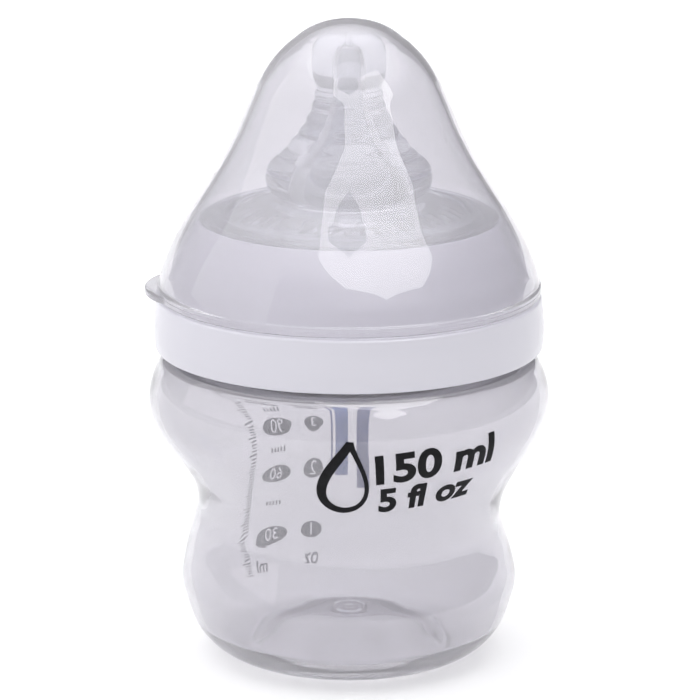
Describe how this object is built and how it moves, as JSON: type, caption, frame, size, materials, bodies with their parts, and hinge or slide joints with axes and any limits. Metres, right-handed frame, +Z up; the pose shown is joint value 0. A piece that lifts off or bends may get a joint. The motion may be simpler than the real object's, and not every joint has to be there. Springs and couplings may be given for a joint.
{
  "type": "baby bottle",
  "caption": "Clear waisted baby bottle with a wide threaded neck, ribbed silicone teat, white screw ring and clear push-on dome cap with a lift tab.",
  "frame": {"origin": "centre of the base, on the plane the bottle stands on", "axes": "+Z up along the bottle's axis, the printed front faces -Y, +X to the right of the front"},
  "size_m": [0.076, 0.076, 0.1226],
  "materials": {
    "clear_plastic": "polished",
    "white_plastic": "gloss",
    "silicone": "gloss",
    "print_black": "satin",
    "print_blue": "satin"
  },
  "bodies": {
    "bottle": {"bottle_body": "clear_plastic"},
    "teat": {"teat": "silicone"},
    "ring": {"screw_ring": "white_plastic"},
    "cap": {"dome_cap": "clear_plastic"}
  },
  "joints": [
    {"name": "teat_rise", "type": "slide", "parent": "bottle", "child": "teat", "axis": [0, 0, 1], "range_m": [0, 0.0076]},
    {"name": "ring_unscrew", "type": "hinge", "parent": "teat", "child": "ring", "pos_m": [0, 0, 0.07], "axis": [0, 0, 1], "range_deg": [0, 540]},
    {"name": "cap_pull", "type": "slide", "parent": "ring", "child": "cap", "axis": [0, 0, 1], "range_m": [0, 0.055]}
  ],
  "couplings": [
    {"joint": "teat_rise", "follows": "ring_unscrew", "m_per_rad": 0.00079577}
  ]
}
